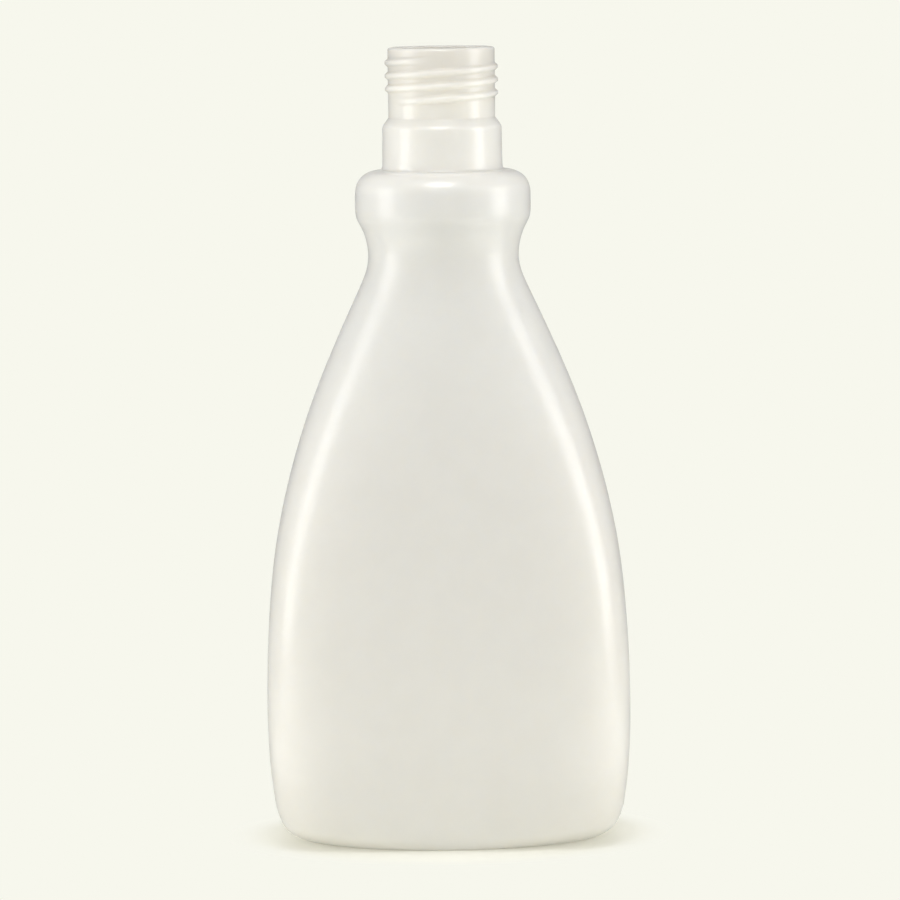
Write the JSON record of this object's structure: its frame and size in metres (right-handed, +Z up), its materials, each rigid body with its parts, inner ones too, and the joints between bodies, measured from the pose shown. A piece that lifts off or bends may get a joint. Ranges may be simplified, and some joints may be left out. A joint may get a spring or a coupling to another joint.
{
  "type": "solvent bottle",
  "caption": "Empty blow-moulded bottle for acetone: flat-faced oval body, long flared shoulders, waist, collar ring and an open screw neck, without its cap.",
  "frame": {"origin": "centre of the foot, on the surface the bottle stands on", "axes": "+Z up along the neck, X across the wide faces, front towards -Y"},
  "size_m": [0.0902, 0.052, 0.1958],
  "materials": {
    "natural_plastic": "satin, milky and slightly see-through, like uncoloured polyethylene"
  },
  "bodies": {
    "root": {"bottle": "natural_plastic"}
  },
  "joints": []
}
